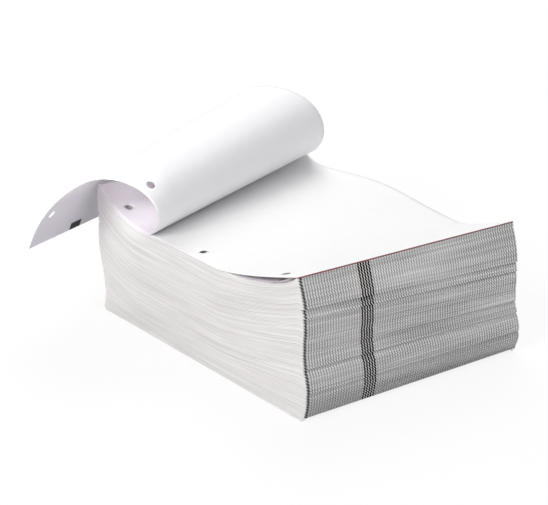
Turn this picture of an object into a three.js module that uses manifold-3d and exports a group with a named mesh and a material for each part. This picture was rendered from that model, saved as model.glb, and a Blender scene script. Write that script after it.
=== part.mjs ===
// Fanfold pack of thermal chart paper: one endless web, folded to and fro into a pack,
// with its top page peeled back in a loose roll. Millimetres, +Z up.
// X runs from the left folds to the right folds, Y from the near cut edge to the far one,
// and the origin is the centre of the flat underside.
import * as THREE from 'three';
import { mergeVertices } from 'three/addons/utils/BufferGeometryUtils.js';
import Module from 'manifold-3d';

const wasm = await Module();
wasm.setup();

// Page and pack
const pageLength = 279.4;
const pageWidth = 215.9;
const foldsPerEnd = 47;
const endHeight = 110.7;
const looseThickness = 0.8;

// How the pages sag between their thicker fold ends, along the near and the far cut edge
const near = { leftSag: 0, midSag: 22.2, rightSag: -4.2, leftReach: 60, rightReach: 105, hump: 0 };
const far = { leftSag: 13, midSag: 21.2, rightSag: 0.7, leftReach: 30, rightReach: 64, hump: 7.5 };
const leftSteepness = 1.8;
const rightSteepness = 1.3;
const humpPlace = 108;
const humpReach = 62;

// Folds, page edges and the rounded foot of each fold end
const foldDepth = 1.0;
const pageEdgeDepth = 0.35;
const footLift = 3;

// How far each fold end stands out from a true upright, from the foot to the top
const leftLean = [0, 3, 1.8, -1.5, -4.5, -5, -5.2, -5, -4];
const rightLeanNear = [-1, 1.8, 1.6, -1.4, -2.6, -1.4, -0.8, -4, -8.4];
const rightLeanFar = [-2, 2, 1, -2.8, -3.6, -2.8, -3.6, -6.5, -10.4];

// Near its right folds the top page stands off the page below it: where the gap starts, how far
// it stops short of the folds, its height, and how deep it reaches in from the near cut edge
const liftStart = 184;
const liftMargin = 3.5;
const liftGap = 4.6;
const liftDepth = 150;
const liftTail = 0.15;

// Three binder holes beside the near cut edge
const holeDiameter = 7.5;
const holeSpacing = 108;
const holeInset = 12.7;

// Bundles of folds that stand out over the folds below them: height as a share of the pack,
// overhang, how far down the folds draw back, and how far the ledge keeps its depth along Y
const ledges = [
  { share: 0.78, overhang: 1.5, fade: 0.06, nearDepth: 1, farDepth: 0.7 },
  { share: 0.7, overhang: 0.8, fade: 0.04, nearDepth: 0.8, farDepth: 0.5 },
  { share: 0.47, overhang: 0.9, fade: 0.05, nearDepth: 0.2, farDepth: 1 },
  { share: 0.36, overhang: 0.8, fade: 0.04, nearDepth: 0.9, farDepth: 0.9 },
  { share: 0.19, overhang: 0.6, fade: 0.05, nearDepth: 0.7, farDepth: 0.8 },
];

// The peeled page: the length of it still lying on the pack along each cut edge, how steeply it
// leaves, how its bend lines fan out, and how many degrees it bends in each stretch of its length
const nearLying = 79;
const farLying = 3;
const leavingSlope = 0.02;
const lineFan = [-0.142, 0.242];
const bendStops = [0, 0.05, 0.13, 0.22, 0.32, 0.44, 0.58, 0.76, 1];
const bendDegrees = [34.8, 21.6, 38.4, 50.4, 30.1, 31.8, 16.7, 25.3];
const rootOverlap = 1.5;
const bedDepth = 1.5;

// Fineness
const levelsPerFold = 4;
const alongStops = [0, 0.035, 0.1, 0.18, 0.3, 0.5, 0.68, 0.79, 0.9, 1];
const acrossStops = [0, 0.33, 0.67, 1];
const liftSteps = 8;
const lyingSteps = 6;
const rollSteps = 56;
const lengthSteps = 400;
const holeSides = 20;

const paper = new THREE.MeshStandardMaterial({ color: '#f1eef2', roughness: 0.85, metalness: 0 });

function mix(a, b, t) {
  return a + (b - a) * t;
}

// A value read from evenly spaced stops by a smooth curve
function leanAt(stops, share) {
  const points = stops.map((lean, i) => new THREE.Vector2(i / (stops.length - 1), lean));
  const curve = new THREE.SplineCurve(points);
  return curve.getPoint(share).y;
}

// Depth of the top page below the fold ends, at a place along one cut edge
function edgeSag(edge, u, across) {
  const fromLeft = Math.max(0, u - leftEnd(1));
  const fromRight = Math.max(0, rightEnd(1, across) - u);
  const leftShare = Math.max(0, 1 - fromLeft / edge.leftReach);
  const rightShare = Math.max(0, 1 - fromRight / edge.rightReach);
  const left = (edge.midSag - edge.leftSag) * leftShare ** leftSteepness;
  const right = (edge.midSag - edge.rightSag) * rightShare ** rightSteepness;
  const hump = edge.hump * Math.exp(-(((u - humpPlace) / humpReach) ** 2));
  return edge.midSag - left - right - hump;
}

function sagAt(u, across) {
  return mix(edgeSag(near, u, 0), edgeSag(far, u, 1), across);
}

// The sag builds up quickly from the flat foot, so deep pages sag nearly as much as the top
function levelHeight(u, across, share) {
  return endHeight * share - sagAt(u, across) * (1 - (1 - share) ** 2);
}

function leftEnd(share) {
  return leanAt(leftLean, share);
}

function rightEnd(share, across) {
  return pageLength + mix(leanAt(rightLeanNear, share), leanAt(rightLeanFar, share), across);
}

// The highest surface of the pack, on which the peeled page lies
function topHeight(u, across) {
  return levelHeight(u, across, 1);
}

// Where a length of page, measured from the left folds along the sagging top, comes to lie
function placeAfter(used, across) {
  const step = pageLength / lengthSteps;
  let u = leftEnd(1);
  let travelled = 0;
  while (travelled < used) {
    const rise = topHeight(u + step, across) - topHeight(u, across);
    const length = Math.hypot(step, rise);
    const taken = Math.min(1, (used - travelled) / length);
    travelled += length;
    u += step * taken;
  }
  return u;
}

// How far the folds below each ledge draw back from it
function ledgeInset(share, across) {
  return ledges.reduce((inset, ledge) => {
    if (share >= ledge.share) return inset;
    const depth = ledge.overhang * mix(ledge.nearDepth, ledge.farDepth, across);
    return inset + depth * Math.exp((share - ledge.share) / ledge.fade);
  }, 0);
}

// A fold is one rounded ridge two pages high, and the two ends are one page out of step
function foldInset(level, firstLevel) {
  const phase = ((level + firstLevel) % levelsPerFold) / levelsPerFold;
  return foldDepth * (1 - Math.sqrt(Math.max(0, 1 - (2 * phase - 1) ** 2)));
}

function packPoint(along, across, level, levelCount) {
  const share = level / levelCount;
  const atLeft = along === 0;
  const atRight = along === 1;
  const onEdge = across === 0 || across === 1;
  const left = leftEnd(share);
  const right = rightEnd(share, across);
  let u = mix(left, right, along);
  if (atLeft) u += foldInset(level, levelsPerFold / 2) + ledgeInset(share, across);
  if (atRight) u -= foldInset(level, 0) + ledgeInset(share, across);
  const slit = onEdge && level % 2 === 0 ? pageEdgeDepth : 0;
  const v = across * pageWidth + (across === 0 ? slit : -slit);
  const foot = atLeft || atRight ? footLift * (1 - share) ** 6 : 0;
  return [u, v, levelHeight(u, across, share) + foot];
}

// The pack without its peeled page: rings of points round the page outline, one above the
// other, closed by a grid of the same columns above and below
function makePack() {
  const levelCount = foldsPerEnd * levelsPerFold;
  const lastAlong = alongStops.length - 1;
  const lastAcross = acrossStops.length - 1;
  const ring = [];
  for (let i = 0; i < lastAlong; i += 1) ring.push([i, 0]);
  for (let j = 0; j < lastAcross; j += 1) ring.push([lastAlong, j]);
  for (let i = lastAlong; i > 0; i -= 1) ring.push([i, lastAcross]);
  for (let j = lastAcross; j > 0; j -= 1) ring.push([0, j]);
  const positions = [];
  const place = (cell, level) =>
    packPoint(alongStops[cell[0]], acrossStops[cell[1]], level, levelCount);
  const addQuad = (a, b, c, d) => positions.push(...a, ...b, ...c, ...a, ...c, ...d);
  for (let level = 0; level < levelCount; level += 1) {
    ring.forEach((cell, k) => {
      const next = ring[(k + 1) % ring.length];
      addQuad(place(cell, level), place(next, level), place(next, level + 1), place(cell, level + 1));
    });
  }
  for (let i = 0; i < lastAlong; i += 1) {
    for (let j = 0; j < lastAcross; j += 1) {
      const corners = (level) => [[i, j], [i + 1, j], [i + 1, j + 1], [i, j + 1]].map((c) => place(c, level));
      addQuad(...corners(levelCount));
      addQuad(...corners(0).reverse());
    }
  }
  return solidFrom(positions);
}

// A loose sheet between two surfaces, each a grid of points with the same rows and columns
function makeSlab(upper, lower) {
  const rows = upper.length - 1;
  const columns = upper[0].length - 1;
  const positions = [];
  const addQuad = (a, b, c, d) => positions.push(...a, ...b, ...c, ...a, ...c, ...d);
  for (let i = 0; i < rows; i += 1) {
    for (let j = 0; j < columns; j += 1) {
      addQuad(upper[i][j], upper[i + 1][j], upper[i + 1][j + 1], upper[i][j + 1]);
      addQuad(lower[i][j], lower[i][j + 1], lower[i + 1][j + 1], lower[i + 1][j]);
    }
    addQuad(lower[i][0], lower[i + 1][0], upper[i + 1][0], upper[i][0]);
    addQuad(upper[i][columns], upper[i + 1][columns], lower[i + 1][columns], lower[i][columns]);
  }
  for (let j = 0; j < columns; j += 1) {
    addQuad(lower[0][j + 1], lower[0][j], upper[0][j], upper[0][j + 1]);
    addQuad(lower[rows][j], lower[rows][j + 1], upper[rows][j + 1], upper[rows][j]);
  }
  return solidFrom(positions);
}

// The slot under the lifted top page, open along the near cut edge and dying out inwards
function makeLiftSlot() {
  const outside = -3;
  const stops = [outside, 0, liftDepth / 2, liftDepth];
  const end = rightEnd(1, 0) - liftMargin;
  const gapAt = (share, v) => {
    const full = liftGap * Math.sin(Math.PI * 0.78 * share) ** 0.8;
    return liftTail + full * (1 - Math.max(0, v) / liftDepth);
  };
  const row = (i, down) => stops.map((v) => {
    const share = i / liftSteps;
    const u = mix(liftStart, end, share);
    const roof = topHeight(u, Math.max(0, v) / pageWidth) - looseThickness;
    return [u, v, roof - down * gapAt(share, v)];
  });
  const rows = (down) => Array.from({ length: liftSteps + 1 }, (_, i) => row(i, down));
  return makeSlab(rows(0), rows(1));
}

// Total bend, in radians, by the share of the peeled page's length
function bendAt(share) {
  let total = 0;
  bendDegrees.forEach((degrees, i) => {
    const within = THREE.MathUtils.clamp((share - bendStops[i]) / (bendStops[i + 1] - bendStops[i]), 0, 1);
    total += degrees * within;
  });
  return THREE.MathUtils.degToRad(total);
}

// The ends of the line where the page leaves the pack, half a thickness above the page below
function leavingPoint(used, across) {
  const u = placeAfter(used, across);
  return new THREE.Vector3(u, across * pageWidth, topHeight(u, across) + looseThickness / 2);
}

// The length of page used at the far cut edge runs ahead of or behind the near one, so that the
// bend lines fan out as on a loose cone
function farShare(share) {
  const fan = lineFan[0] + lineFan[1] * (1 - 2 * share);
  return share + fan * share * (1 - share);
}

// The peeled page is a flat sheet bent only about straight lines that cross it from cut edge
// to cut edge. Each line turns the rest of the sheet a little more, so no strip is stretched.
function rollLines() {
  const nearRoot = leavingPoint(nearLying, 0);
  const farRoot = leavingPoint(farLying, 1);
  const rootLine = farRoot.clone().sub(nearRoot).normalize();
  const leaving = new THREE.Vector3(1, 0, leavingSlope);
  leaving.addScaledVector(rootLine, -leaving.dot(rootLine)).normalize();
  const skew = Math.hypot(farLying - nearLying, pageWidth);
  const lineAlong = (farLying - nearLying) / skew;
  const lineAcross = pageWidth / skew;
  const alongPage = rootLine.clone().multiplyScalar(lineAlong).addScaledVector(leaving, lineAcross);
  const acrossPage = rootLine.clone().multiplyScalar(lineAcross).addScaledVector(leaving, -lineAlong);
  const lines = [];
  let start = nearRoot;
  let startUsed = nearLying;
  const addLine = (nearUsed, farUsed, turn) => {
    const pageAt = (used, across) => start.clone()
      .addScaledVector(alongPage, used - startUsed).addScaledVector(acrossPage, across);
    const nearPoint = pageAt(nearUsed, 0);
    const farPoint = pageAt(farUsed, pageWidth);
    const axis = farPoint.clone().sub(nearPoint).normalize();
    const normal = alongPage.clone().cross(acrossPage).normalize().applyAxisAngle(axis, -turn / 2);
    alongPage.applyAxisAngle(axis, -turn);
    acrossPage.applyAxisAngle(axis, -turn);
    lines.push({ nearPoint, farPoint, nearUsed, farUsed, normal });
    start = nearPoint;
    startUsed = nearUsed;
  };
  addLine(nearLying - rootOverlap, farLying - rootOverlap, 0);
  for (let i = 0; i <= rollSteps; i += 1) {
    const share = i / rollSteps;
    const turn = bendAt((i + 1) / rollSteps) - bendAt(share);
    addLine(mix(nearLying, pageLength, share), mix(farLying, pageLength, farShare(share)), turn);
  }
  return lines;
}

// The part of the peeled page that still lies on the pack, from the left folds to the line
// where it leaves. Its underside is sunk into the page below, as the two lie face to face.
function makeLyingPage() {
  const nearRoot = leavingPoint(nearLying, 0);
  const farRoot = leavingPoint(farLying, 1);
  const trim = pageEdgeDepth / 2;
  const start = leftEnd(1) + trim;
  const row = (i, sunk) => Array.from({ length: lyingSteps + 1 }, (_, j) => {
    const share = i / lyingSteps;
    const across = j / lyingSteps;
    const u = mix(start, mix(nearRoot.x, farRoot.x, across), share);
    const bed = topHeight(u, across);
    const leavingLine = mix(nearRoot.z, farRoot.z, across) + looseThickness / 2;
    const upper = mix(bed + looseThickness, leavingLine, share ** 3);
    const v = mix(trim, pageWidth - trim, across);
    return [u, v, sunk ? bed - bedDepth : upper];
  });
  const rows = (sunk) => Array.from({ length: lyingSteps + 1 }, (_, i) => row(i, sunk));
  return makeSlab(rows(false), rows(true));
}

function makePeeledPage(lines) {
  const offset = (point, normal, height) => point.clone().addScaledVector(normal, height).toArray();
  const side = (height) => lines.map((line) => [
    offset(line.nearPoint, line.normal, height),
    offset(line.farPoint, line.normal, height),
  ]);
  return makeSlab(side(looseThickness / 2), side(-looseThickness / 2));
}

// Where a spot of the flat page has come to lie on the roll, and which way it faces
function spotOnRoll(lines, used, across) {
  const share = across / pageWidth;
  const usedAt = (line) => mix(line.nearUsed, line.farUsed, share);
  const index = lines.findIndex((line) => usedAt(line) > used);
  const before = lines[index - 1];
  const after = lines[index];
  const within = (used - usedAt(before)) / (usedAt(after) - usedAt(before));
  const on = (line) => line.nearPoint.clone().lerp(line.farPoint, share);
  const point = on(before).lerp(on(after), within);
  const normal = before.normal.clone().lerp(after.normal, within).normalize();
  return { point, normal };
}

// A round punch of a given length, centred on a spot and facing its normal
function makePunch(point, normal, length) {
  const punch = new THREE.CylinderGeometry(holeDiameter / 2, holeDiameter / 2, length, holeSides);
  punch.applyQuaternion(new THREE.Quaternion().setFromUnitVectors(new THREE.Vector3(0, 1, 0), normal));
  punch.translate(point.x, point.y, point.z);
  return solidFromGeometry(punch);
}

function holePlaces() {
  return [-1, 0, 1].map((side) => pageLength / 2 + side * holeSpacing);
}

function solidFrom(positions) {
  const geometry = new THREE.BufferGeometry();
  geometry.setAttribute('position', new THREE.Float32BufferAttribute(positions, 3));
  return solidFromGeometry(geometry);
}

function solidFromGeometry(geometry) {
  geometry.deleteAttribute('normal');
  geometry.deleteAttribute('uv');
  const merged = mergeVertices(geometry, 1e-4);
  const mesh = new wasm.Mesh({
    numProp: 3,
    vertProperties: new Float32Array(merged.attributes.position.array),
    triVerts: new Uint32Array(merged.index.array),
  });
  return new wasm.Manifold(mesh);
}

function geometryFrom(solid) {
  const mesh = solid.getMesh();
  const geometry = new THREE.BufferGeometry();
  geometry.setAttribute('position', new THREE.BufferAttribute(mesh.vertProperties, 3));
  geometry.setIndex(new THREE.BufferAttribute(mesh.triVerts, 1));
  geometry.computeVertexNormals();
  return geometry;
}

// The whole web: pack and peeled page are one sheet, joined at the left folds
function makeWeb() {
  const upright = new THREE.Vector3(0, 0, 1);
  const lines = rollLines();
  let pack = makePack().subtract(makeLiftSlot()).add(makeLyingPage());
  let peeled = makePeeledPage(lines);
  holePlaces().forEach((used) => {
    const throughPack = new THREE.Vector3(placeAfter(used, 0), holeInset, endHeight / 2);
    pack = pack.subtract(makePunch(throughPack, upright, endHeight * 1.5));
    if (used > nearLying) {
      const spot = spotOnRoll(lines, used, holeInset);
      peeled = peeled.subtract(makePunch(spot.point, spot.normal, holeDiameter));
    }
  });
  return pack.add(peeled);
}

const web = new THREE.Mesh(geometryFrom(makeWeb()), paper);
web.name = 'folded_web';
web.geometry.translate(-pageLength / 2, -pageWidth / 2, 0);

const fanfoldPack = new THREE.Group();
fanfoldPack.name = 'fanfold_thermal_paper';
fanfoldPack.add(web);

export default fanfoldPack;
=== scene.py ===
import math

import bpy
import numpy as np
from mathutils import Matrix, Vector
from mathutils.geometry import delaunay_2d_cdt


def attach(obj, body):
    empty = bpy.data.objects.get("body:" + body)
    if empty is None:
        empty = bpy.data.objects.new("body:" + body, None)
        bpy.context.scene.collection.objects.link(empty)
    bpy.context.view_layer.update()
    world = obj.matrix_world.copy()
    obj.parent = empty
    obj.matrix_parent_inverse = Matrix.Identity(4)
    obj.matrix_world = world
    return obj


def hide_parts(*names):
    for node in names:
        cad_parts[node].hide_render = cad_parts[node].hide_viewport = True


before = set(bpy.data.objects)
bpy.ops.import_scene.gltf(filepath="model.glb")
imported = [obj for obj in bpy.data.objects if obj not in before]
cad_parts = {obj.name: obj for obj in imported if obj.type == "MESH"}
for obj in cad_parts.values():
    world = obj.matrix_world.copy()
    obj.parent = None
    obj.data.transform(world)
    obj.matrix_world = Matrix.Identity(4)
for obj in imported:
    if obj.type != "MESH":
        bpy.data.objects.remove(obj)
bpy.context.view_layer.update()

mm = 0.001  # shapes are worked out in millimetres and put into the meshes in metres

# A pack of folded chart paper in three pieces: the folded pages, the page that lies on top of
# them, and the page peeled back from it. Lengths are in millimetres from the left folds, the
# near cut edge and the table.
page = {
    "length": 279.4,          # fold to fold
    "width": 215.9,           # cut edge to cut edge
    "thickness": 0.25,        # real paper is under 0.1, which is too thin to show its edge
    "holeDiameter": 7.5,
    "holeSpacing": 108,
    "holeInset": 12.7,
}
pack = {
    "foldsPerEnd": 47,
    "endHeight": 110.7,
    "nearSag": {"left": 0, "mid": 22.2, "right": -4.2, "leftReach": 60, "rightReach": 105, "hump": 0},
    "farSag": {"left": 13, "mid": 21.2, "right": 0.7, "leftReach": 30, "rightReach": 64, "hump": 7.5},
    "leftSteepness": 1.8,
    "rightSteepness": 1.3,
    "humpPlace": 108,
    "humpReach": 62,
    "leftLean": [0, 3, 1.8, -1.5, -4.5, -5, -5.2, -5, -4],
    "rightLeanNear": [-1, 1.8, 1.6, -1.4, -2.6, -1.4, -0.8, -4, -8.4],
    "rightLeanFar": [-2, 2, 1, -2.8, -3.6, -2.8, -3.6, -6.5, -10.4],
    "leftFoldDepth": 0.9,
    "rightFoldDepth": 0.5,
    "slitDepth": 0.3,
    "footLift": 3,            # the lowest folds curl up by this much
    "footPower": 6,
    "topClearance": 0.35,     # the pack's own top lies this far under the top sheet's middle
    "tuck": 1.0,              # depth of the tucked fold under a ledge, in overhangs
    "tuckFade": 0.011,
    "farLoose": 0.09,         # how much more height the upper folds take at the far edge
    "farLoosePower": 1.8,
    "foldJitter": 0.3,        # how unevenly the folds stand
    "foldWave": 5,            # how fast a fold's stand changes across the page, in radians
    "waveShare": 0.4,         # and how much of it changes
    "pageJitter": 0.16,       # how unevenly the cut edges stand
    "cornerRun": 0.03,        # within this share of the length from a corner they even out,
    "cornerShare": 0.25,      # down to this share of their stand
    "seed": 7,
}
ledges = [
    {"share": 0.79, "overhang": 2.3, "fade": 0.06, "near": 1, "far": 0.7},
    {"share": 0.72, "overhang": 1.2, "fade": 0.04, "near": 0.8, "far": 0.7},
    {"share": 0.47, "overhang": 1.3, "fade": 0.05, "near": 0.2, "far": 1},
    {"share": 0.36, "overhang": 1.2, "fade": 0.04, "near": 0.7, "far": 1},
    {"share": 0.19, "overhang": 0.9, "fade": 0.05, "near": 0.5, "far": 1},
]
lift = {
    "start": 184,             # the gap under the top page opens from here to the right folds
    "margin": 3.5,
    "gap": 4.6,
    "sineShare": 0.78,        # how much of half a wave the gap follows
    "sinePower": 0.8,
    "depth": 150,             # how far in from the near edge it reaches
    "closing": 12,            # it closes over this length before the folds,
    "closedEnd": 2,           # and is shut this far before them
    "givingPower": 7,
}
roll = {
    "height": 0.4,            # the peeled page's middle lies this far above the top where it rests
    "nearLying": 79,          # length that still rests on the pack at the near edge
    "farLying": 3,            # and at the far edge
    "leavingSlope": 0.02,
    "fan": (-0.142, 0.242),
    "stops": [0, 0.05, 0.13, 0.22, 0.32, 0.44, 0.58, 0.76, 1],    # shares of the loose page
    "degrees": [34.8, 21.6, 38.4, 50.4, 30.1, 31.8, 16.7, 25.3],  # its bend between two stops
    "steps": 300,
}
rng = np.random.default_rng(pack["seed"])


def mix(a, b, t):
    # a where t is 0 and b where t is 1, straight between them
    return a + (b - a) * t


def smoothCurve(stops, share):
    # a Catmull-Rom curve through evenly spaced stops
    stops = np.asarray(stops, float)
    last = len(stops) - 1
    place = np.clip(share, 0, 1) * last
    i = np.floor(place).astype(int)
    t = place - i
    before, a = stops[np.maximum(i - 1, 0)], stops[i]
    b, after = stops[np.minimum(i + 1, last)], stops[np.minimum(i + 2, last)]
    slopeA, slopeB = (b - before) / 2, (after - a) / 2
    return ((2 * a - 2 * b + slopeA + slopeB) * t ** 3
            + (3 * b - 3 * a - 2 * slopeA - slopeB) * t ** 2 + slopeA * t + a)


def leftEnd(share):
    # how far the left folds lean, as a curve up the pack
    return smoothCurve(pack["leftLean"], share)


def rightEnd(share, across):
    # how far the right folds lean, by one curve at the near edge and one at the far edge
    near = smoothCurve(pack["rightLeanNear"], share)
    far = smoothCurve(pack["rightLeanFar"], share)
    return page["length"] + mix(near, far, across)


def edgeSag(sag, u, across):
    # how deep the top page hangs below the fold ends: it falls away from each end by a power
    # of the distance left to the end's reach, and the far edge has one low hump
    leftShare = np.clip(1 - np.maximum(0, u - leftEnd(1.0)) / sag["leftReach"], 0, 1)
    rightShare = np.clip(1 - np.maximum(0, rightEnd(1.0, across) - u) / sag["rightReach"], 0, 1)
    left = (sag["mid"] - sag["left"]) * leftShare ** pack["leftSteepness"]
    right = (sag["mid"] - sag["right"]) * rightShare ** pack["rightSteepness"]
    hump = sag["hump"] * np.exp(-((u - pack["humpPlace"]) / pack["humpReach"]) ** 2)
    return sag["mid"] - left - right - hump


def topHeight(u, across):
    # the height of the fold ends, less a sag mixed from the near edge's and the far edge's
    near, far = edgeSag(pack["nearSag"], u, 0), edgeSag(pack["farSag"], u, 1)
    return pack["endHeight"] - mix(near, far, across)


def liftOpening(u, across):
    # the gap under the top page near its right folds: a sine along X that dies out along Y, and
    # closes at the folds as a square root, like the end of a round bend
    end = rightEnd(1.0, 0) - lift["margin"]
    share = np.clip((u - lift["start"]) / (end - lift["start"]), 0, 1)
    fade = np.clip(1 - across * page["width"] / lift["depth"], 0, 1)
    closing = np.sqrt(np.clip((rightEnd(1.0, across) - lift["closedEnd"] - u) / lift["closing"], 0, 1))
    return lift["gap"] * np.sin(math.pi * lift["sineShare"] * share) ** lift["sinePower"] * fade * closing


def levelHeight(u, across, share):
    # every page sags like the pack's top, by one less the square of the share still above it,
    # and only the upper ones give way to the gap under the top page, by a high power of their share
    sag = pack["endHeight"] + pack["topClearance"] - topHeight(u, across)
    giving = liftOpening(u, across) * share ** lift["givingPower"]
    return pack["endHeight"] * share - sag * (1 - (1 - share) ** 2) - giving


def ledgeInset(share, across):
    # below each ledge the folds stand back, and come out again as an exponential of the
    # distance; the fold right under it is tucked in further by a much shorter one
    inset = np.zeros(np.broadcast(share, across).shape)
    for ledge in ledges:
        depth = ledge["overhang"] * mix(ledge["near"], ledge["far"], across)
        distance = np.minimum(0, share - ledge["share"])
        below = np.exp(distance / ledge["fade"]) + pack["tuck"] * np.exp(distance / pack["tuckFade"])
        inset = inset + np.where(share < ledge["share"], depth * below, 0)
    return inset


# The length of page laid along the sagging top, as a table from which places are read
table = {"rows": 25, "reach": 300, "steps": 900}
tableAcross = np.linspace(0, 1, table["rows"])
tableU = leftEnd(1.0) + np.linspace(0, table["reach"], table["steps"])
tableHeight = topHeight(tableU[None, :], tableAcross[:, None])
tableLength = np.hypot(np.diff(tableU)[None, :], np.diff(tableHeight, axis=1))
tableLength = np.concatenate([np.zeros((table["rows"], 1)), np.cumsum(tableLength, axis=1)], axis=1)


def placeAfter(used, across):
    # where along the top a page lies once a given length of it is used up, mixed between the
    # two nearest rows of the table
    rows = np.array([np.interp(used, lengths, tableU) for lengths in tableLength])
    row = np.clip(across, 0, 1) * (len(tableAcross) - 1)
    i = np.minimum(row.astype(int), len(tableAcross) - 2)
    k = np.arange(len(i))
    return mix(rows[i, k], rows[i + 1, k], row - i)


def toFrame(u, v, z):
    # the frame's origin is under the middle of the page
    return np.stack([u - page["length"] / 2, v - page["width"] / 2, z], axis=-1) * mm


def makeMesh(name, points, faces, uvs, materials, slots=None, smooth=True):
    # uvs are given by point or by face corner
    mesh = bpy.data.meshes.new(name)
    mesh.from_pydata(points.tolist(), [], [tuple(face) for face in faces])
    for material in materials:
        mesh.materials.append(material)
    if slots is not None:
        mesh.polygons.foreach_set("material_index", np.asarray(slots, np.int32))
    layer = mesh.uv_layers.new(name="pages")
    loops = np.zeros(len(mesh.loops), np.int32)
    mesh.loops.foreach_get("vertex_index", loops)
    layer.data.foreach_set("uv", (uvs[loops] if len(uvs) == len(points) else uvs).ravel())
    mesh.polygons.foreach_set("use_smooth", np.full(len(mesh.polygons), smooth))
    mesh.update()
    piece = bpy.data.objects.new(name, mesh)
    bpy.context.scene.collection.objects.link(piece)
    return piece


def addPiece(piece):
    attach(piece, "root")
    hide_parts("folded_web")
    print("made", piece.name, len(piece.data.polygons), "faces")


def holePlaces():
    # the binder holes along the page, from its left folds
    return page["length"] / 2 + np.array([-1, 0, 1]) * page["holeSpacing"]


def unitCircle(sides):
    # points evenly spaced round a circle of radius 1
    angles = np.arange(sides) / sides * 2 * math.pi
    return np.stack([np.cos(angles), np.sin(angles)], axis=-1)


def flatTriangles(points, rings, centres, radius):
    # Delaunay triangles between flat points, all turned the same way, less those whose middle
    # lies in a round hole. rings lists the points of each hole and outline in order.
    tiny = 1e-6
    holeShare = 0.99
    edges = [(ring[k], ring[(k + 1) % len(ring)]) for ring in rings for k in range(len(ring))]
    flat = [Vector(point) for point in points.tolist()]
    result = delaunay_2d_cdt(flat, edges, [], 0, tiny)
    triangles = np.array(result[2])
    corners = points[triangles]
    area = np.cross(corners[:, 1] - corners[:, 0], corners[:, 2] - corners[:, 0])
    triangles = np.where(area[:, None] < 0, triangles[:, ::-1], triangles)
    middles = corners.mean(axis=1)
    keep = np.abs(area) > tiny
    for centre in centres:
        keep &= np.hypot(*(middles - centre).T) > radius * holeShare
    return triangles[keep]


def flatPage(start, end, stepLength, stepWidth, holes, more=()):
    # a flat page as a grid of points, with two rings of points round each binder hole. more are
    # further places along the page, where it bends sharply
    ring = {"sides": 40, "outer": 1.4, "clear": 1.75}  # the last two in radii of the hole
    alongs = np.linspace(start, end, int(round((end - start) / stepLength)) + 1)
    alongs = np.concatenate([alongs, more])
    acrosses = np.linspace(0, page["width"], int(round(page["width"] / stepWidth)) + 1)
    grid = np.stack(np.meshgrid(alongs, acrosses, indexing="ij"), axis=-1).reshape(-1, 2)
    radius = page["holeDiameter"] / 2
    centres = [np.array([place, page["holeInset"]]) for place in holes]
    for centre in centres:
        grid = grid[np.hypot(*(grid - centre).T) > radius * ring["clear"]]
    circle = unitCircle(ring["sides"])
    points, rings = [grid], []
    count = len(grid)
    for centre in centres:
        points += [centre + circle * radius, centre + circle[::2] * radius * ring["outer"]]
        rings.append(list(range(count, count + len(circle))))
        count += len(circle) + len(circle[::2])
    points = np.concatenate(points)
    return points, flatTriangles(points, rings, centres, radius)


# Materials. Those that follow the pages read the map "pages": millimetres along and across the
# page, or on the pack's sides millimetres along the side and folds up from the table. Scales of
# noise on that map are in turns per millimetre and per fold.

def toLinear(hexColour, alpha=1):
    # undoes the sRGB curve
    channels = [int(hexColour[i:i + 2], 16) / 255 for i in (1, 3, 5)]
    return [c / 12.92 if c <= 0.04045 else ((c + 0.055) / 1.055) ** 2.4 for c in channels] + [alpha]


def addNode(owner, kind, settings=None, links=None):
    # settings are the node's own properties, or its sockets by name or number; links feed a
    # socket from another node's output socket
    node = owner.node_tree.nodes.new(kind)
    for key, value in (settings or {}).items():
        if isinstance(key, str) and hasattr(node, key):
            setattr(node, key, value)
        else:
            node.inputs[key].default_value = value
    for key, output in (links or {}).items():
        owner.node_tree.links.new(output, node.inputs[key])
    return node


def newMaterial(name, settings):
    material = bpy.data.materials.new(name)
    material.use_nodes = True
    shader = material.node_tree.nodes["Principled BSDF"]
    for key, value in settings.items():
        shader.inputs[key].default_value = value
    return material, shader


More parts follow.
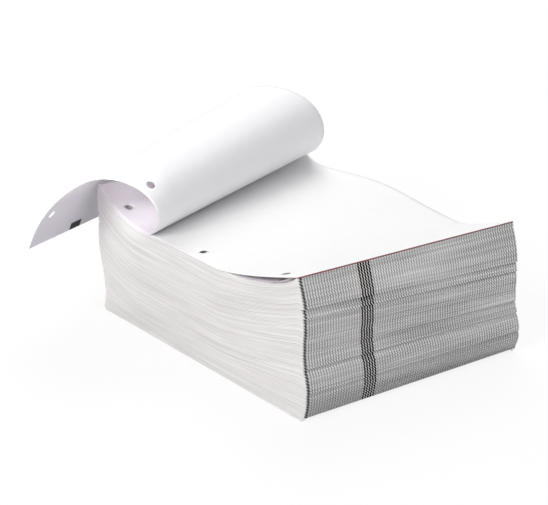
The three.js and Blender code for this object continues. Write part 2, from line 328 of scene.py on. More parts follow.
def makeBackPaper(name, through, crease=None):
    # Plain base paper, calendered: an even white with a faint cloudy formation and a dull
    # sheen. Sizes are in millimetres, the fibres drawn coarser than real ones. through is 1 on a
    # sheet that light comes through. A crease, where given, is a thin brown line of print on a fold.
    look = {"white": "#fbfbfc", "cloud": "#f5f5f8", "cloudSize": 9, "fibreSize": 0.35}
    material, shader = newMaterial(name, {"Roughness": 0.62, "Subsurface Weight": through,
                                          "Subsurface Radius": (1, 1, 1), "Subsurface Scale": 0.0003})
    spot = addNode(material, "ShaderNodeTexCoord")
    clouds = addNode(material, "ShaderNodeTexNoise", {"Scale": 1 / (look["cloudSize"] * mm), "Detail": 4},
                     {"Vector": spot.outputs["Object"]})
    fibres = addNode(material, "ShaderNodeTexNoise", {"Scale": 1 / (look["fibreSize"] * mm), "Detail": 2},
                     {"Vector": spot.outputs["Object"]})
    colour = addNode(material, "ShaderNodeMix",
                     {"data_type": "RGBA", 6: toLinear(look["white"]), 7: toLinear(look["cloud"])},
                     {0: clouds.outputs[0]})
    if crease:
        uv = addNode(material, "ShaderNodeUVMap", {"uv_map": "pages"})
        place = addNode(material, "ShaderNodeSeparateXYZ", None, {0: uv.outputs[0]})
        onCrease = addNode(material, "ShaderNodeMath", {"operation": "GREATER_THAN", 1: crease["from"]},
                           {0: place.outputs[0]})
        fade = addNode(material, "ShaderNodeMapRange", {"From Max": page["width"]},
                       {"Value": place.outputs[1]})
        brown = addNode(material, "ShaderNodeMix",
                        {"data_type": "RGBA", 6: toLinear(crease["near"]), 7: toLinear(crease["far"])},
                        {0: fade.outputs[0]})
        colour = addNode(material, "ShaderNodeMix", {"data_type": "RGBA"},
                         {0: onCrease.outputs[0], 6: colour.outputs[2], 7: brown.outputs[2]})
    bump = addNode(material, "ShaderNodeBump", {"Strength": 0.05, "Distance": 0.0001},
                   {"Height": fibres.outputs[0]})
    material.node_tree.links.new(colour.outputs[2], shader.inputs["Base Color"])
    material.node_tree.links.new(bump.outputs[0], shader.inputs["Normal"])
    return material


def makeCoatedPaper(name, through, mark=None, ticks=None):
    # Thermal coating printed with a chart grid in a very pale red violet: smoother than the
    # back, and tinted all over because the grid's lines are finer than the eye parts from here.
    # mark is one black index mark, on a page whose free end is darkened by painted shade, and ticks
    # are a row of short dark strokes.
    look = {"tint": "#f6f2f6", "line": "#eadfe9", "mark": "#050606", "tick": "#3c3740",
            "gridSpacing": 2.54, "lineWidth": 0.3, "shadedEnd": "#dedae2", "shadedEndFrom": 195, "shadedEndTo": 235}
    material, shader = newMaterial(name, {"Roughness": 0.45, "Specular IOR Level": 0.15,
                                          "Subsurface Weight": through, "Subsurface Radius": (1, 1, 1),
                                          "Subsurface Scale": 0.0003})
    uv = addNode(material, "ShaderNodeUVMap", {"uv_map": "pages"})
    place = addNode(material, "ShaderNodeSeparateXYZ", None, {0: uv.outputs[0]})
    toLine = [addNode(material, "ShaderNodeMath", {"operation": "PINGPONG", 1: look["gridSpacing"] / 2},
                      {0: place.outputs[i]}) for i in (0, 1)]
    nearest = addNode(material, "ShaderNodeMath", {"operation": "MINIMUM"},
                      {0: toLine[0].outputs[0], 1: toLine[1].outputs[0]})
    onLine = addNode(material, "ShaderNodeMath", {"operation": "LESS_THAN", 1: look["lineWidth"] / 2},
                     {0: nearest.outputs[0]})
    colour = addNode(material, "ShaderNodeMix",
                     {"data_type": "RGBA", 6: toLinear(look["tint"]), 7: toLinear(look["line"])},
                     {0: onLine.outputs[0]})
    if mark:
        # painted shade: the page is darkened towards its free end, standing in for the shade the flap lies
        # in
        shadedEndShare = addNode(material, "ShaderNodeMapRange",
                            {"From Min": look["shadedEndFrom"], "From Max": look["shadedEndTo"]},
                            {"Value": place.outputs[0]})
        colour = addNode(material, "ShaderNodeMix", {"data_type": "RGBA", 7: toLinear(look["shadedEnd"])},
                         {0: shadedEndShare.outputs[0], 6: colour.outputs[2]})
    for patch, hexColour in ((mark, look["mark"]), (ticks, look["tick"])):
        if not patch:
            continue
        ranges = zip((patch["x"], patch["y"]), place.outputs)
        within = [addNode(material, "ShaderNodeMath",
                          {"operation": "COMPARE", 1: (high + low) / 2, 2: (high - low) / 2}, {0: output})
                  for (low, high), output in ranges]
        inside = addNode(material, "ShaderNodeMath", {"operation": "MULTIPLY"},
                         {0: within[0].outputs[0], 1: within[1].outputs[0]})
        if "spacing" in patch:
            slanted = addNode(material, "ShaderNodeMath", {"operation": "MULTIPLY_ADD", 1: patch["slant"]},
                              {0: place.outputs[1], 2: place.outputs[0]})
            toTick = addNode(material, "ShaderNodeMath", {"operation": "PINGPONG", 1: patch["spacing"] / 2},
                             {0: slanted.outputs[0]})
            onTick = addNode(material, "ShaderNodeMath", {"operation": "LESS_THAN", 1: patch["spacing"] / 4},
                             {0: toTick.outputs[0]})
            inside = addNode(material, "ShaderNodeMath", {"operation": "MULTIPLY"},
                             {0: inside.outputs[0], 1: onTick.outputs[0]})
        colour = addNode(material, "ShaderNodeMix", {"data_type": "RGBA", 7: toLinear(hexColour)},
                         {0: inside.outputs[0], 6: colour.outputs[2]})
    material.node_tree.links.new(colour.outputs[2], shader.inputs["Base Color"])
    return material


def makePageEdges():
    # Guillotined edges of a thick pack: warm white, with thin grey lines of painted shade where the
    # pages part, which open and close along their length. Lengths up the pack are in folds of two
    # pages.
    look = {"light": "#eeecec", "dark": "#d6d3d2", "gap": "#8d8889", "pagePitch": 0.5, "gapReach": 0.11,
            "fineScale": (0.01, 4, 1), "openingScale": (0.008, 1.7, 1)}
    material, shader = newMaterial("guillotined page edges", {"Roughness": 0.8})
    uv = addNode(material, "ShaderNodeUVMap", {"uv_map": "pages"})
    place = addNode(material, "ShaderNodeSeparateXYZ", None, {0: uv.outputs[0]})
    fineMap = addNode(material, "ShaderNodeMapping", {"Scale": look["fineScale"]}, {"Vector": uv.outputs[0]})
    fine = addNode(material, "ShaderNodeTexNoise", {"Scale": 1.0, "Detail": 3, "Roughness": 0.65},
                   {"Vector": fineMap.outputs[0]})
    tone = addNode(material, "ShaderNodeMapRange", {"From Min": 0.35, "From Max": 0.65},
                   {"Value": fine.outputs[0]})
    colour = addNode(material, "ShaderNodeMix",
                     {"data_type": "RGBA", 6: toLinear(look["light"]), 7: toLinear(look["dark"])},
                     {0: tone.outputs[0]})
    # painted shade: grey lines at each page's parting, standing in for the shade between the pages
    toGap = addNode(material, "ShaderNodeMath", {"operation": "PINGPONG", 1: look["pagePitch"] / 2},
                    {0: place.outputs[1]})
    nearGap = addNode(material, "ShaderNodeMapRange",
                      {"From Max": look["gapReach"], "To Min": 1, "To Max": 0}, {"Value": toGap.outputs[0]})
    openMap = addNode(material, "ShaderNodeMapping", {"Scale": look["openingScale"]},
                      {"Vector": uv.outputs[0]})
    opening = addNode(material, "ShaderNodeTexNoise", {"Scale": 1.0, "Detail": 2},
                      {"Vector": openMap.outputs[0]})
    openShare = addNode(material, "ShaderNodeMapRange", {"From Min": 0.35, "From Max": 0.68},
                        {"Value": opening.outputs[0]})
    partingShadeShare = addNode(material, "ShaderNodeMath", {"operation": "MULTIPLY"},
                       {0: nearGap.outputs[0], 1: openShare.outputs[0]})
    colour = addNode(material, "ShaderNodeMix", {"data_type": "RGBA", 7: toLinear(look["gap"])},
                     {0: partingShadeShare.outputs[0], 6: colour.outputs[2]})
    bump = addNode(material, "ShaderNodeBump", {"Strength": 0.35, "Distance": 0.0004},
                   {"Height": fine.outputs[0]})
    material.node_tree.links.new(colour.outputs[2], shader.inputs["Base Color"])
    material.node_tree.links.new(bump.outputs[0], shader.inputs["Normal"])
    return material


def makePrintedFolds():
    # The backs of the folds: the chart grid's lines run over every fold as short slanted
    # strokes, each fold a little out of line with the next. Five of them are bold and black,
    # and one more stands at the near corner beside the white page edges. The strokes are
    # drawn about twice as wide as the real ones, which would not show at this size. The
    # lowest folds are greyer by a painted shade, for the light that falls off towards the foot.
    look = {"paper": "#f4f4f4", "shade": "#c4c4c5", "stroke": "#69696b", "bold": "#070a09",
            "edge": "#f1eeee", "foot": "#a5a5a7", "footShadeRows": 11, "footShadeShare": 0.7, "spacing": 2.54,
            "slant": 0.85, "wander": 2.4, "strokeWidth": 0.95, "strokeSoft": 0.15, "boldWidth": 1.8,
            "boldMiddle": 63.5, "boldHalf": 6.4, "cornerEdge": 2.4, "cornerWidth": 1.7, "cornerSlant": 2.0,
            "wanderScale": (0.003, 0.3, 1), "inkScale": (0.012, 0.16, 1), "toneScale": (0.004, 0.75, 1)}
    material, shader = newMaterial("printed fold backs", {"Roughness": 0.72, "Specular IOR Level": 0.3})
    uv = addNode(material, "ShaderNodeUVMap", {"uv_map": "pages"})
    place = addNode(material, "ShaderNodeSeparateXYZ", None, {0: uv.outputs[0]})
    rowPhase = addNode(material, "ShaderNodeMath", {"operation": "FRACT"}, {0: place.outputs[1]})
    slanted = addNode(material, "ShaderNodeMath", {"operation": "MULTIPLY_ADD", 1: look["slant"]},
                      {0: rowPhase.outputs[0], 2: place.outputs[0]})
    wanderMap = addNode(material, "ShaderNodeMapping", {"Scale": look["wanderScale"]},
                        {"Vector": uv.outputs[0]})
    wander = addNode(material, "ShaderNodeTexNoise", {"Scale": 1.0, "Detail": 3, "Roughness": 0.7},
                     {"Vector": wanderMap.outputs[0]})
    shifted = addNode(material, "ShaderNodeMath", {"operation": "MULTIPLY_ADD", 1: look["wander"]},
                      {0: wander.outputs[0], 2: slanted.outputs[0]})
    toStroke = addNode(material, "ShaderNodeMath", {"operation": "PINGPONG", 1: look["spacing"] / 2},
                       {0: shifted.outputs[0]})
    onStroke = addNode(material, "ShaderNodeMapRange",
                       {"From Min": look["strokeWidth"] / 2 - look["strokeSoft"],
                        "From Max": look["strokeWidth"] / 2 + look["strokeSoft"], "To Min": 1, "To Max": 0},
                       {"Value": toStroke.outputs[0]})
    inkMap = addNode(material, "ShaderNodeMapping", {"Scale": look["inkScale"]}, {"Vector": uv.outputs[0]})
    ink = addNode(material, "ShaderNodeTexNoise", {"Scale": 1.0, "Detail": 3}, {"Vector": inkMap.outputs[0]})
    inkShare = addNode(material, "ShaderNodeMapRange",
                       {"From Min": 0.3, "From Max": 0.65, "To Min": 0.45, "To Max": 1},
                       {"Value": ink.outputs[0]})
    strokeShare = addNode(material, "ShaderNodeMath", {"operation": "MULTIPLY"},
                          {0: onStroke.outputs[0], 1: inkShare.outputs[0]})
    toneMap = addNode(material, "ShaderNodeMapping", {"Scale": look["toneScale"]}, {"Vector": uv.outputs[0]})
    tone = addNode(material, "ShaderNodeTexNoise", {"Scale": 1.0, "Detail": 4, "Roughness": 0.7},
                   {"Vector": toneMap.outputs[0]})
    toneShare = addNode(material, "ShaderNodeMapRange", {"From Min": 0.35, "From Max": 0.68},
                        {"Value": tone.outputs[0]})
    colour = addNode(material, "ShaderNodeMix",
                     {"data_type": "RGBA", 6: toLinear(look["paper"]), 7: toLinear(look["shade"])},
                     {0: toneShare.outputs[0]})
    # painted shade: the lowest rows of folds are mixed towards the grey foot colour, standing in for the
    # shade at the pack's foot
    footShadeShare = addNode(material, "ShaderNodeMapRange",
                        {"From Max": look["footShadeRows"], "To Min": look["footShadeShare"], "To Max": 0},
                        {"Value": place.outputs[1]})
    colour = addNode(material, "ShaderNodeMix", {"data_type": "RGBA", 7: toLinear(look["foot"])},
                     {0: footShadeShare.outputs[0], 6: colour.outputs[2]})
    colour = addNode(material, "ShaderNodeMix", {"data_type": "RGBA", 7: toLinear(look["stroke"])},
                     {0: strokeShare.outputs[0], 6: colour.outputs[2]})
    inBand = addNode(material, "ShaderNodeMath",
                     {"operation": "COMPARE", 1: look["boldMiddle"], 2: look["boldHalf"]},
                     {0: shifted.outputs[0]})
    colour = addNode(material, "ShaderNodeMix", {"data_type": "RGBA", 7: toLinear(look["edge"])},
                     {0: inBand.outputs[0], 6: colour.outputs[2]})
    onBold = addNode(material, "ShaderNodeMath", {"operation": "LESS_THAN", 1: look["boldWidth"] / 2},
                     {0: toStroke.outputs[0]})
    boldShare = addNode(material, "ShaderNodeMath", {"operation": "MULTIPLY"},
                        {0: onBold.outputs[0], 1: inBand.outputs[0]})
    colour = addNode(material, "ShaderNodeMix", {"data_type": "RGBA", 7: toLinear(look["bold"])},
                     {0: boldShare.outputs[0], 6: colour.outputs[2]})
    teeth = addNode(material, "ShaderNodeMath", {"operation": "MULTIPLY_ADD", 1: look["cornerSlant"]},
                    {0: rowPhase.outputs[0], 2: place.outputs[0]})
    for limit, hexColour in ((look["cornerEdge"] + look["cornerWidth"], look["bold"]),
                             (look["cornerEdge"], look["edge"])):
        atCorner = addNode(material, "ShaderNodeMath", {"operation": "LESS_THAN", 1: limit},
                           {0: teeth.outputs[0]})
        colour = addNode(material, "ShaderNodeMix", {"data_type": "RGBA", 7: toLinear(hexColour)},
                         {0: atCorner.outputs[0], 6: colour.outputs[2]})
    material.node_tree.links.new(colour.outputs[2], shader.inputs["Base Color"])
    return material


backPaper = makeBackPaper("calendered base paper", 0)
topPaper = makeBackPaper("calendered base paper with a printed crease", 1,
                         {"from": page["length"] - 0.5, "near": "#8a3a30", "far": "#8d6264"})
peeledFace = makeCoatedPaper("thermal coated paper", 0, mark={"x": (272.4, 290), "y": (59.5, 75.5)})
innerFace = makeCoatedPaper("thermal coated paper under the top page", 1,
                            ticks={"x": (243, 271), "y": (-1, 3.2), "spacing": 2.5, "slant": 0.8})
pageEdges = makePageEdges()
printedFolds = makePrintedFolds()
print("materials made")


# The pack: rings of points round the page outline, one above the other, with caps above and
# below that share their triangles, and the binder holes carried down through every page
fineness = {"levelsPerPage": 3, "alongSide": 64, "acrossEnd": 54, "capAlong": 36, "capAcross": 22,
            "holeSides": 24, "crowding": 0.06}
foldStand = rng.uniform(0, pack["foldJitter"], pack["foldsPerEnd"] + 1)
pageStand = rng.uniform(0, pack["pageJitter"], pack["foldsPerEnd"] * 2 + 1)


def packPoints(along, across, level):
    # a point at shares along and across the page at a level. Its height share is the level's,
    # less a sine that leaves the upper folds more room at the far edge. At the ends it goes in
    # by half an ellipse for each fold, by the ledges and by the fold's own stand, which changes
    # across the page as a cosine; at the cut edges by a groove between pages and by the page's
    # own stand, less near the corners. The lowest folds curl up by a power of their share.
    levelsPerFold = fineness["levelsPerPage"] * 2
    levelShare = level / (pack["foldsPerEnd"] * levelsPerFold)
    share = levelShare - pack["farLoose"] * across * np.sin(math.pi * levelShare ** pack["farLoosePower"])
    left, right = leftEnd(share), rightEnd(share, across)
    phaseRight = (level % levelsPerFold) / levelsPerFold
    phaseLeft = ((level + levelsPerFold / 2) % levelsPerFold) / levelsPerFold
    ridgeRight = pack["rightFoldDepth"] * (1 - np.sqrt(1 - (2 * phaseRight - 1) ** 2))
    ridgeLeft = pack["leftFoldDepth"] * (1 - np.sqrt(1 - (2 * phaseLeft - 1) ** 2))
    foldRow = np.floor(level / levelsPerFold).astype(int)
    pageRow = np.floor(level / fineness["levelsPerPage"]).astype(int)
    slit = np.where(level % fineness["levelsPerPage"] == 0, pack["slitDepth"], 0)
    u = mix(left, right, along)
    atLeft, atRight = along <= 0, along >= 1
    wave = 1 - pack["waveShare"] + pack["waveShare"] * np.cos(across * pack["foldWave"] + foldRow)
    stand = foldStand[np.minimum(foldRow, len(foldStand) - 1)] * wave
    inset = ledgeInset(levelShare, across)
    u = np.where(atRight, u - ridgeRight - inset - stand, u)
    u = np.where(atLeft, u + ridgeLeft + inset + stand, u)
    edgeStand = slit + pageStand[np.minimum(pageRow, len(pageStand) - 1)]
    toCorner = np.minimum(along, 1 - along)
    edgeStand = edgeStand * np.clip(toCorner / pack["cornerRun"] + pack["cornerShare"], 0, 1)
    v = across * page["width"]
    v = np.where(across <= 0, edgeStand, np.where(across >= 1, page["width"] - edgeStand, v))
    foot = np.where(atLeft | atRight, pack["footLift"] * (1 - share) ** pack["footPower"], 0)
    return u, v, levelHeight(u, across, share) + foot


def makePack():
    levels = pack["foldsPerEnd"] * fineness["levelsPerPage"] * 2
    alongs = np.linspace(0, 1, fineness["alongSide"] + 1)
    alongs = alongs - fineness["crowding"] * np.sin(2 * math.pi * alongs)  # columns crowd at the folds
    acrosses = np.linspace(0, 1, fineness["acrossEnd"] + 1)
    ringAlong = np.concatenate([alongs[:-1], np.ones(len(acrosses) - 1), alongs[:0:-1],
                                np.zeros(len(acrosses) - 1)])
    ringAcross = np.concatenate([np.zeros(len(alongs) - 1), acrosses[:-1], np.ones(len(alongs) - 1),
                                 acrosses[:0:-1]])
    columns = len(ringAlong)
    level = np.arange(levels + 1)[:, None]
    u, v, z = packPoints(ringAlong[None, :], ringAcross[None, :], level)
    wall = toFrame(u, v, z).reshape(-1, 3)

    # the binder holes: rings of points that keep their place on each page. The pages below
    # are a little out of line with the top sheet's holes.
    tube = {"radius": 3.3, "shift": np.array([-1.4, 1.0]), "levels": 49, "clear": 1.6}
    holes = holePlaces()
    radius = tube["radius"]
    holeU = placeAfter(holes, np.full(len(holes), page["holeInset"] / page["width"]))
    span = rightEnd(1.0, 0) - leftEnd(1.0)
    centres = [np.array([place - leftEnd(1.0), page["holeInset"]]) + tube["shift"] for place in holeU]
    circle = unitCircle(fineness["holeSides"]) * radius

    # caps: the outline, the hole rings and a grid of inner points, flat in millimetres
    flatScale = np.array([span, page["width"]])
    outline = np.stack([ringAlong, ringAcross], axis=-1) * flatScale
    inner = np.stack(np.meshgrid(np.linspace(0, 1, fineness["capAlong"] + 1)[1:-1],
                                 np.linspace(0, 1, fineness["capAcross"] + 1)[1:-1], indexing="ij"), axis=-1)
    inner = inner.reshape(-1, 2) * flatScale
    for centre in centres:
        inner = inner[np.hypot(*(inner - centre).T) > radius * tube["clear"]]
    ringPoints = np.concatenate([centre + circle for centre in centres])
    flat = np.concatenate([outline, ringPoints, inner])
    starts = [columns + k * len(circle) for k in range(len(holes))]
    rings = [list(range(start, start + len(circle))) for start in starts] + [list(range(columns))]
    triangles = flatTriangles(flat, rings, centres, radius)

    share = flat / flatScale
    extraAlong, extraAcross = share[columns:, 0], share[columns:, 1]
    topExtra = toFrame(*packPoints(extraAlong, extraAcross, np.full(len(extraAlong), levels)))
    lowExtra = toFrame(*packPoints(extraAlong, extraAcross, np.zeros(len(extraAlong))))
    tubeShare = share[columns:columns + len(ringPoints)]
    tubeLevels = np.linspace(levels, 0, tube["levels"])[1:-1]
    tubePoints = toFrame(*packPoints(tubeShare[None, :, 0], tubeShare[None, :, 1], tubeLevels[:, None]))

    # vertex numbers: the wall, then the upper cap's own points, the lower cap's, the tubes'
    wallCount, extraCount, ringCount = len(wall), len(topExtra), len(ringPoints)
    topIndex = np.concatenate([levels * columns + np.arange(columns), wallCount + np.arange(extraCount)])
    lowIndex = np.concatenate([np.arange(columns), wallCount + extraCount + np.arange(extraCount)])
    points = np.concatenate([wall, topExtra, lowExtra, tubePoints.reshape(-1, 3)])

    i, k = np.meshgrid(np.arange(levels), np.arange(columns), indexing="ij")
    n = (k + 1) % columns
    wallFaces = np.stack([i * columns + k, i * columns + n, (i + 1) * columns + n, (i + 1) * columns + k],
                         axis=-1).reshape(-1, 4)
    tubeStart = wallCount + 2 * extraCount
    tubeRows = [topIndex[columns:columns + ringCount]]
    tubeRows += [tubeStart + r * ringCount + np.arange(ringCount) for r in range(len(tubeLevels))]
    tubeRows += [lowIndex[columns:columns + ringCount]]
    tubeRows = np.array(tubeRows).reshape(len(tubeRows), len(holes), len(circle))
    nextOne = np.roll(tubeRows, -1, axis=2)
    tubeFaces = np.stack([tubeRows[:-1], nextOne[:-1], nextOne[1:], tubeRows[1:]], axis=-1).reshape(-1, 4)

    topFaces, lowFaces = topIndex[triangles], lowIndex[triangles][:, ::-1]
    faces = wallFaces.tolist() + topFaces.tolist() + lowFaces.tolist() + tubeFaces.tolist()

    # slots: 0 cut edges, 1 fold backs, 2 the page under the top one, 3 the plain bottom page
    sideOfColumn = np.concatenate([np.zeros(len(alongs) - 1), np.ones(len(acrosses) - 1),
                                   np.zeros(len(alongs) - 1), np.ones(len(acrosses) - 1)]).astype(int)
    wallSlots = np.tile(sideOfColumn, levels)
    slots = np.concatenate([wallSlots, np.full(len(topFaces), 2), np.full(len(lowFaces), 3),
                            np.zeros(len(tubeFaces), int)])

    # the pages map, by face corner, because a corner column belongs to two sides
    lengthAlong = ringAlong * page["length"]
    lengthAcross = ringAcross * page["width"]
    onEnd = sideOfColumn == 1
    uHere = np.where(onEnd, lengthAcross, lengthAlong)
    nextColumn = (np.arange(columns) + 1) % columns
    uNext = np.where(onEnd, lengthAcross[nextColumn], lengthAlong[nextColumn])
    rows = np.arange(levels + 1) / (fineness["levelsPerPage"] * 2)
    low, high = rows[:-1][:, None], rows[1:][:, None]
    one = np.ones((levels, columns))
    wallUv = np.stack([np.stack([uHere * one, low * one], -1), np.stack([uNext * one, low * one], -1),
                       np.stack([uNext * one, high * one], -1), np.stack([uHere * one, high * one], -1)],
                      axis=2).reshape(-1, 2)
    capUv = np.concatenate([np.stack([lengthAlong, lengthAcross], -1), flat[columns:]])
    topUv = capUv[triangles].reshape(-1, 2)
    lowUv = capUv[triangles[:, ::-1]].reshape(-1, 2)
    tubeUv = np.zeros((len(tubeFaces) * 4, 2))
    uvs = np.concatenate([wallUv, topUv, lowUv, tubeUv])
    return makeMesh("foldedPages", points, faces, uvs, [pageEdges, printedFolds, innerFace, backPaper],
                    slots, smooth=False)


foldedPages = makePack()
addPiece(foldedPages)


# The roll: lines that cross the page from cut edge to cut edge, at each of which it bends a little

def rotate(vector, axis, angle):
    # Rodrigues' rotation of a vector about a unit axis
    return (vector * math.cos(angle) + np.cross(axis, vector) * math.sin(angle)
            + axis * np.dot(axis, vector) * (1 - math.cos(angle)))


def unit(vector):
    # a vector over its own length
    return vector / np.linalg.norm(vector)


def leavingPoint(used, across):
    # the spot of the pack's top where the peeled page leaves it, on one of its cut edges
    u = placeAfter(np.array([used], float), np.array([across], float))[0]
    height = topHeight(u, across) + roll["height"]
    return np.array([u, across * page["width"], height])


def bendAt(share):
    # the whole bend up to a share of the loose page, straight between the measured stops
    total = np.concatenate([[0], np.cumsum(roll["degrees"])])
    return np.radians(np.interp(share, roll["stops"], total))


def rollLines():
    # lines evenly spaced along the near edge, and along the far edge spaced by a parabola of
    # their share, so that they fan out. The page is laid on flat from line to line, and its two
    # directions turn about each line by that line's bend, which keeps every length on it true.
    nearRoot, farRoot = leavingPoint(roll["nearLying"], 0), leavingPoint(roll["farLying"], 1)
    rootLine = unit(farRoot - nearRoot)
    leaving = np.array([1, 0, roll["leavingSlope"]])
    leaving = unit(leaving - rootLine * np.dot(leaving, rootLine))
    skew = np.array([roll["farLying"] - roll["nearLying"], page["width"]])
    lineAlong, lineAcross = skew / np.linalg.norm(skew)
    alongPage = rootLine * lineAlong + leaving * lineAcross
    acrossPage = rootLine * lineAcross - leaving * lineAlong
    shares = np.linspace(0, 1, roll["steps"] + 1)
    fan = roll["fan"][0] + roll["fan"][1] * (1 - 2 * shares)
    nearUsed = mix(roll["nearLying"], page["length"], shares)
    farUsed = mix(roll["farLying"], page["length"], shares + fan * shares * (1 - shares))
    turns = np.append(np.diff(bendAt(shares)), 0)
    start, startUsed = nearRoot, roll["nearLying"]
    nearPoints, farPoints = [], []
    for near, far, turn in zip(nearUsed, farUsed, turns):
        nearPoint = start + alongPage * (near - startUsed)
        farPoint = start + alongPage * (far - startUsed) + acrossPage * page["width"]
        axis = unit(farPoint - nearPoint)
        alongPage, acrossPage = rotate(alongPage, axis, -turn), rotate(acrossPage, axis, -turn)
        nearPoints.append(nearPoint)
        farPoints.append(farPoint)
        start, startUsed = nearPoint, near
    return nearUsed, farUsed, np.array(nearPoints), np.array(farPoints)


def bedPoints(used, across, height):
    # a page lying on the pack's top, its middle at a height above it
    u = placeAfter(used, across)
    return np.stack([u, across * page["width"], topHeight(u, across) + height], axis=-1)


def makePeeledPage():
    # a flat page, of which every spot is mixed between its line's two ends. What still lies on
    # the pack follows its top, and meets the first line by the cube of its share.
    sheet = {"stepLength": 1.6, "stepWidth": 3.1, "meetingPower": 3}
    flat, triangles = flatPage(0, page["length"], sheet["stepLength"], sheet["stepWidth"], holePlaces())
    used, across = flat[:, 0], flat[:, 1] / page["width"]
    nearUsed, farUsed, nearPoints, farPoints = rollLines()
    # the two lines between which each spot of the page lies, and its share of the way
    usedAt = mix(nearUsed[None, :], farUsed[None, :], across[:, None])
    before = np.clip((usedAt <= used[:, None]).sum(axis=1) - 1, 0, roll["steps"] - 1)
    k = np.arange(len(used))
    within = (used - usedAt[k, before]) / (usedAt[k, before + 1] - usedAt[k, before])
    nearHere = mix(nearPoints[before], nearPoints[before + 1], within[:, None])
    farHere = mix(farPoints[before], farPoints[before + 1], within[:, None])
    rolled = mix(nearHere, farHere, across[:, None])
    lyingLength = mix(roll["nearLying"], roll["farLying"], across)
    share = np.clip(used / lyingLength, 0, 1)
    bed = bedPoints(np.minimum(used, lyingLength), across, roll["height"])
    root = mix(nearPoints[0], farPoints[0], across[:, None])
    bedEnd = bedPoints(lyingLength, across, roll["height"])
    bed = bed + (root - bedEnd) * (share ** sheet["meetingPower"])[:, None]
    place = np.where((used < lyingLength)[:, None], bed, rolled)
    points = toFrame(place[:, 0], place[:, 1], place[:, 2])
    piece = makeMesh("peeledPage", points, triangles.tolist(), flat, [peeledFace, backPaper, pageEdges])
    thicken(piece)
    return piece


def thicken(piece):
    # paper has two faces and a rim, each with its own look
    solidify = piece.modifiers.new("paper thickness", "SOLIDIFY")
    solidify.thickness = page["thickness"] * mm
    solidify.offset = 0
    solidify.material_offset = 1
    solidify.material_offset_rim = 2
    solidify.use_even_offset = True


def makeTopSheet():
    # the sheet lies along the pack's top, stretched to end where the right folds begin to turn,
    # and turns down there round a quarter circle
    sheet = {"stepLength": 1.6, "stepWidth": 3.1, "bend": 0.9, "bendSteps": 6, "height": 0.1}
    quarter = sheet["bend"] * math.pi / 2
    straight = page["length"] - sheet["bend"]
    flat, triangles = flatPage(0, straight, sheet["stepLength"], sheet["stepWidth"], holePlaces(),
                               straight + np.linspace(0, quarter, sheet["bendSteps"] + 1)[1:])
    used, across = flat[:, 0], flat[:, 1] / page["width"]
    crest = rightEnd(1.0, tableAcross) - sheet["bend"]
    crestLength = [np.interp(place, tableU, lengths) for place, lengths in zip(crest, tableLength)]
    stretch = np.interp(across, tableAcross, crestLength) / straight
    place = bedPoints(np.minimum(used, straight) * stretch, across, sheet["height"])
    angle = np.maximum(0, used - straight) / sheet["bend"]
    place[:, 0] += sheet["bend"] * np.sin(angle)
    place[:, 2] -= sheet["bend"] * (1 - np.cos(angle))
    points = toFrame(place[:, 0], place[:, 1], place[:, 2])
    piece = makeMesh("topSheet", points, triangles.tolist(), flat, [topPaper, innerFace, pageEdges])
    thicken(piece)
    return piece


peeledPage = makePeeledPage()
addPiece(peeledPage)
topSheet = makeTopSheet()
addPiece(topSheet)


# The floor, the light and the camera, which aren't part of the object

def makeFloor():
    # most of the floor's white is its own, and only the camera sees that share, so the floor
    # throws no more light on the object and still shows its shadow
    floor = {"size": 6, "white": "#ffffff", "ownLight": 0.85}
    half = floor["size"] / 2
    corners = np.array([[-half, -half, 0], [half, -half, 0], [half, half, 0], [-half, half, 0]])
    material, shader = newMaterial("white paper sweep", {"Base Color": toLinear(floor["white"]),
                                                         "Roughness": 0.9, "Specular IOR Level": 0})
    path = addNode(material, "ShaderNodeLightPath")
    glow = addNode(material, "ShaderNodeEmission", {"Color": toLinear(floor["white"]), "Strength": 1.0})
    seen = addNode(material, "ShaderNodeMath", {"operation": "MULTIPLY", 1: floor["ownLight"]},
                   {0: path.outputs["Is Camera Ray"]})
    blend = addNode(material, "ShaderNodeMixShader", None,
                    {0: seen.outputs[0], 1: shader.outputs[0], 2: glow.outputs[0]})
    output = material.node_tree.nodes["Material Output"]
    material.node_tree.links.new(blend.outputs[0], output.inputs["Surface"])
    piece = makeMesh("floor", corners, [[0, 1, 2, 3]], corners[:, :2], [material])


def makeWorld():
    # dim white daylight on the object, and plain white where the camera sees past the floor
    sky = {"white": "#ffffff", "daylight": 0.4}
    world = bpy.data.worlds.new("soft studio")
    world.use_nodes = True
    bpy.context.scene.world = world
    background = world.node_tree.nodes["Background"]
    background.inputs["Color"].default_value = toLinear(sky["white"])
    background.inputs["Strength"].default_value = sky["daylight"]
    seen = addNode(world, "ShaderNodeBackground", {"Color": toLinear(sky["white"]), "Strength": 1.0})
    path = addNode(world, "ShaderNodeLightPath")
    blend = addNode(world, "ShaderNodeMixShader", None,
                    {0: path.outputs["Is Camera Ray"], 1: background.outputs[0], 2: seen.outputs[0]})
    world.node_tree.links.new(blend.outputs[0], world.node_tree.nodes["World Output"].inputs["Surface"])


def addLamp(name, kind, spot, aim, energy, settings):
    # a lamp of a given kind that faces a given point
    data = bpy.data.lights.new(name, kind)
    data.energy = energy
    for key, value in settings.items():
        setattr(data, key, value)
    lamp = bpy.data.objects.new(name, data)
    away = Vector(spot) - Vector(aim)
    lamp.matrix_world = Matrix.Translation(spot) @ away.to_track_quat("Z", "Y").to_matrix().to_4x4()
    bpy.context.scene.collection.objects.link(lamp)


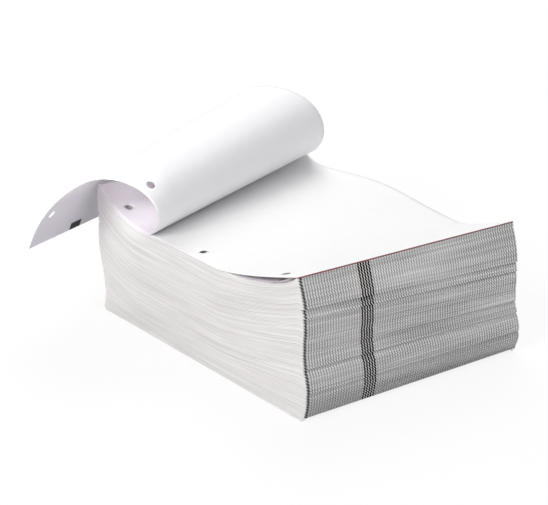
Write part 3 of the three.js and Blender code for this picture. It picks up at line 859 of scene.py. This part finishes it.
def makeCamera():
    # solved from the pack's corners on the photograph, for a frame of 548 by 505. The spot is
    # in millimetres and the turns are in degrees.
    view = {"spot": (1206.9, -929.0, 657.8), "yaw": -53.37, "pitch": 21.14, "roll": -0.25,
            "focalPixels": 2000, "frameWidth": 548, "sensor": 36}
    yaw, pitch, tilt = (math.radians(view[key]) for key in ("yaw", "pitch", "roll"))
    forward = Vector((math.sin(yaw) * math.cos(pitch), math.cos(yaw) * math.cos(pitch), -math.sin(pitch)))
    right = forward.cross(Vector((0, 0, 1))).normalized()
    up = right.cross(forward)
    tiltedRight = right * math.cos(tilt) + up * math.sin(tilt)
    tiltedUp = up * math.cos(tilt) - right * math.sin(tilt)
    turn = Matrix((tiltedRight, tiltedUp, -forward)).transposed().to_4x4()
    data = bpy.data.cameras.new("camera")
    data.sensor_width = view["sensor"]
    data.lens = view["focalPixels"] / view["frameWidth"] * view["sensor"]
    camera = bpy.data.objects.new("camera", data)
    camera.matrix_world = Matrix.Translation(Vector(view["spot"]) * mm) @ turn
    bpy.context.scene.collection.objects.link(camera)
    bpy.context.scene.camera = camera


# two soft lamps for the whole object, and two narrow ones for the light that real paper lets
# through into the roll; places in metres, energy in watts
packMiddle = (0, 0, 0.05)
lamps = [
    {"name": "back lamp", "kind": "AREA", "spot": (-1.0, 0.9, 1.5), "aim": packMiddle, "energy": 19.6,
     "settings": {"size": 1.2}},
    {"name": "near lamp", "kind": "AREA", "spot": (0.4, -1.4, 1.1), "aim": packMiddle, "energy": 17.4,
     "settings": {"size": 0.8}},
    {"name": "roll lamp", "kind": "SPOT", "spot": (0.181, -0.845, 0.493), "aim": (-0.095, -0.085, 0.099),
     "energy": 46, "settings": {"spot_size": 0.045, "spot_blend": 1.0, "shadow_soft_size": 0.02}},
    {"name": "inner roll lamp", "kind": "SPOT", "spot": (1.65, -1.20, 0.82), "aim": (-0.124, -0.088, 0.107),
     "energy": 136, "settings": {"spot_size": 0.0185, "spot_blend": 1.0, "shadow_soft_size": 0.02}},
]
makeFloor()
makeWorld()
for lamp in lamps:
    addLamp(**lamp)
makeCamera()
bpy.context.scene.view_settings.view_transform = "Standard"
print("floor, light and camera set")
